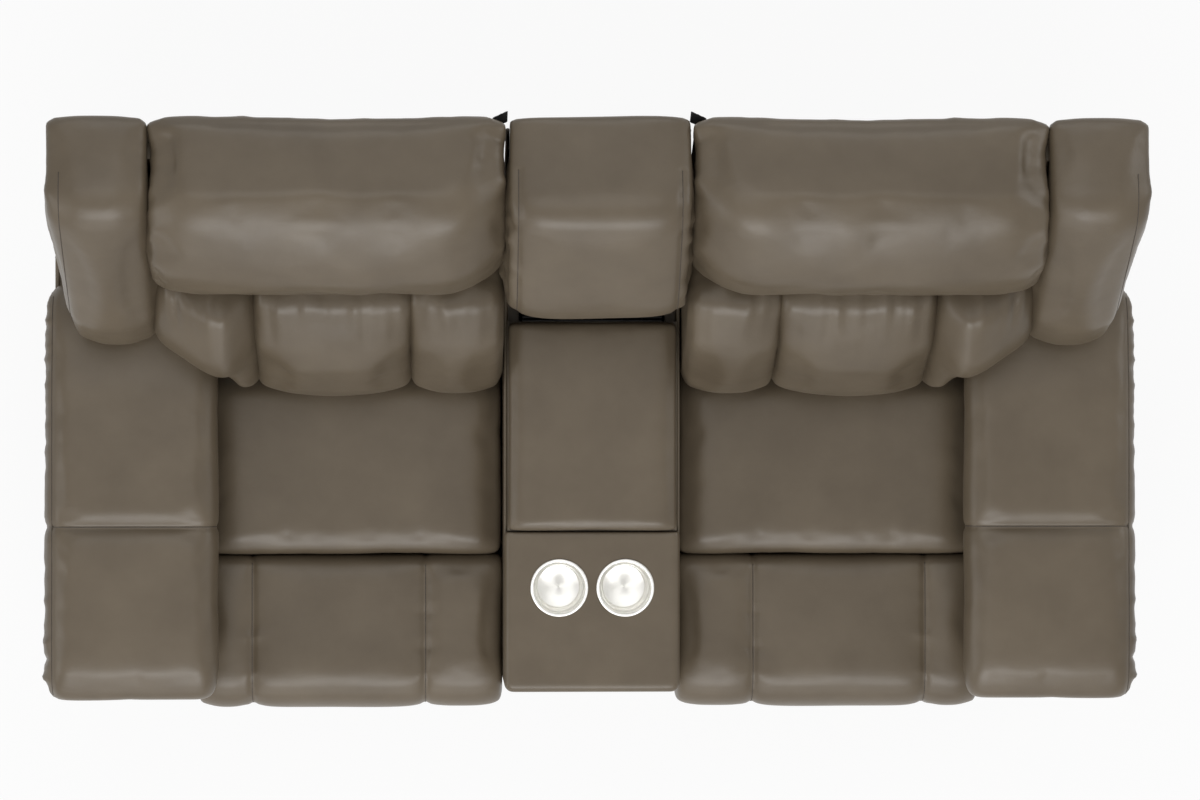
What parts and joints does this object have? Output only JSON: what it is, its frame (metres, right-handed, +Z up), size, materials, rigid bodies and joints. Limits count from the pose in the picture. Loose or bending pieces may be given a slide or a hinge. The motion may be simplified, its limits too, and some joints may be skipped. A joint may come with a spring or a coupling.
{
  "type": "power reclining loveseat",
  "caption": "Padded leather power reclining loveseat with winged backs, rising footrests and a centre console with cup wells and a lidded bin.",
  "frame": {"origin": "on the floor under the middle of the overall box", "axes": "+X to the right of someone facing the seat, +Y to the rear, +Z up"},
  "size_m": [1.9236, 1.038, 1.0318],
  "materials": {
    "leather": "matt grained",
    "frame_wood": "raw",
    "mechanism_steel": "satin",
    "cup_steel": "polished",
    "black_plastic": "matt",
    "switch_plastic": "satin"
  },
  "bodies": {
    "base": {"base_rails": "frame_wood", "console_back_cushion": "leather", "console_back_frame": "frame_wood", "console_cover": "leather", "console_deck": "leather", "console_frame": "frame_wood", "console_hinge_fixed": "mechanism_steel", "console_rear_panel": "black_plastic", "cup_holders": "cup_steel", "feet": "black_plastic", "left_arm_cover": "leather", "left_arm_frame": "frame_wood", "left_arm_pillow": "leather", "power_supply": "black_plastic", "rear_valance": "leather", "right_arm_cover": "leather", "right_arm_frame": "frame_wood", "right_arm_pillow": "leather", "switch_plates": "switch_plastic"},
    "console_lid": {"console_hinge_moving": "mechanism_steel", "console_lid_board": "leather", "console_lid_pad": "leather"},
    "left_seat": {"left_seat_frame": "frame_wood", "left_seat_springs": "mechanism_steel", "left_seat_cushion": "leather", "left_seat_bolster": "leather", "left_seat_plates": "mechanism_steel", "left_actuator_motor": "black_plastic"},
    "left_back": {"left_back_frame": "frame_wood", "left_back_hinges": "mechanism_steel", "left_back_cover": "leather", "left_head_cushion": "leather", "left_lumbar_cushion": "leather", "left_wing_bolster": "leather"},
    "left_rear_links": {"left_rear_links": "mechanism_steel"},
    "left_front_links": {"left_front_links": "mechanism_steel"},
    "left_footrest": {"left_footrest_board": "frame_wood", "left_footrest_pad": "leather"},
    "left_actuator_carriage": {"left_actuator_carriage": "black_plastic"},
    "left_open_button": {"left_open_button": "switch_plastic"},
    "left_close_button": {"left_close_button": "switch_plastic"},
    "right_seat": {"right_seat_frame": "frame_wood", "right_seat_springs": "mechanism_steel", "right_seat_cushion": "leather", "right_seat_bolster": "leather", "right_seat_plates": "mechanism_steel", "right_actuator_motor": "black_plastic"},
    "right_back": {"right_back_frame": "frame_wood", "right_back_hinges": "mechanism_steel", "right_back_cover": "leather", "right_head_cushion": "leather", "right_lumbar_cushion": "leather", "right_wing_bolster": "leather"},
    "right_rear_links": {"right_rear_links": "mechanism_steel"},
    "right_front_links": {"right_front_links": "mechanism_steel"},
    "right_footrest": {"right_footrest_board": "frame_wood", "right_footrest_pad": "leather"},
    "right_actuator_carriage": {"right_actuator_carriage": "black_plastic"},
    "right_open_button": {"right_open_button": "switch_plastic"},
    "right_close_button": {"right_close_button": "switch_plastic"}
  },
  "joints": [
    {"name": "left_seat_glide", "type": "slide", "parent": "base", "child": "left_seat", "axis": [0, -1, 0], "range_m": [0, 0.06]},
    {"name": "left_recline", "type": "hinge", "parent": "left_seat", "child": "left_back", "pos_m": [-0.426, 0.23851, 0.385], "axis": [-1, 0, 0], "range_deg": [0, 38]},
    {"name": "left_rear_link_turn", "type": "hinge", "parent": "left_seat", "child": "left_rear_links", "pos_m": [-0.426, -0.25, 0.31], "axis": [-1, 0, 0], "range_deg": [-0.5, 100.5]},
    {"name": "left_front_link_turn", "type": "hinge", "parent": "left_rear_links", "child": "left_front_links", "pos_m": [-0.426, -0.2118, 0.09334], "axis": [-1, 0, 0], "range_deg": [-129.03, 0.5]},
    {"name": "left_footrest_turn", "type": "hinge", "parent": "left_front_links", "child": "left_footrest", "pos_m": [-0.426, -0.418, 0.23], "axis": [-1, 0, 0], "range_deg": [-0.5, 119.03]},
    {"name": "left_actuator_slide", "type": "slide", "parent": "left_seat", "child": "left_actuator_carriage", "axis": [0, -1, 0], "range_m": [-0.0005, 0.0605]},
    {"name": "left_open_press", "type": "slide", "parent": "base", "child": "left_open_button", "axis": [-1, 0, 0], "range_m": [0, 0.0015], "stiffness_N_per_m": 600, "springref_m": -0.0006},
    {"name": "left_close_press", "type": "slide", "parent": "base", "child": "left_close_button", "axis": [-1, 0, 0], "range_m": [0, 0.0015], "stiffness_N_per_m": 600, "springref_m": -0.0006},
    {"name": "right_seat_glide", "type": "slide", "parent": "base", "child": "right_seat", "axis": [0, -1, 0], "range_m": [0, 0.06]},
    {"name": "right_recline", "type": "hinge", "parent": "right_seat", "child": "right_back", "pos_m": [0.426, 0.23851, 0.385], "axis": [-1, 0, 0], "range_deg": [0, 38]},
    {"name": "right_rear_link_turn", "type": "hinge", "parent": "right_seat", "child": "right_rear_links", "pos_m": [0.426, -0.25, 0.31], "axis": [-1, 0, 0], "range_deg": [-0.5, 100.5]},
    {"name": "right_front_link_turn", "type": "hinge", "parent": "right_rear_links", "child": "right_front_links", "pos_m": [0.426, -0.2118, 0.09334], "axis": [-1, 0, 0], "range_deg": [-129.03, 0.5]},
    {"name": "right_footrest_turn", "type": "hinge", "parent": "right_front_links", "child": "right_footrest", "pos_m": [0.426, -0.418, 0.23], "axis": [-1, 0, 0], "range_deg": [-0.5, 119.03]},
    {"name": "right_actuator_slide", "type": "slide", "parent": "right_seat", "child": "right_actuator_carriage", "axis": [0, -1, 0], "range_m": [-0.0005, 0.0605]},
    {"name": "right_open_press", "type": "slide", "parent": "base", "child": "right_open_button", "axis": [1, 0, 0], "range_m": [0, 0.0015], "stiffness_N_per_m": 600, "springref_m": -0.0006},
    {"name": "right_close_press", "type": "slide", "parent": "base", "child": "right_close_button", "axis": [1, 0, 0], "range_m": [0, 0.0015], "stiffness_N_per_m": 600, "springref_m": -0.0006},
    {"name": "console_lid_hinge", "type": "hinge", "parent": "base", "child": "console_lid", "pos_m": [0, 0.178, 0.592], "axis": [-1, 0, 0], "range_deg": [0, 60]}
  ],
  "couplings": [
    {"joint": "left_seat_glide", "follows": "left_recline", "m_per_rad": 0.090467},
    {"joint": "left_rear_link_turn", "follows": "left_recline", "ratio": 2.6316},
    {"joint": "left_front_link_turn", "follows": "left_recline", "ratio": -3.3825},
    {"joint": "left_footrest_turn", "follows": "left_recline", "ratio": 3.1193},
    {"joint": "left_actuator_slide", "follows": "left_recline", "m_per_rad": 0.090467},
    {"joint": "right_seat_glide", "follows": "right_recline", "m_per_rad": 0.090467},
    {"joint": "right_rear_link_turn", "follows": "right_recline", "ratio": 2.6316},
    {"joint": "right_front_link_turn", "follows": "right_recline", "ratio": -3.3825},
    {"joint": "right_footrest_turn", "follows": "right_recline", "ratio": 3.1193},
    {"joint": "right_actuator_slide", "follows": "right_recline", "m_per_rad": 0.090467}
  ]
}
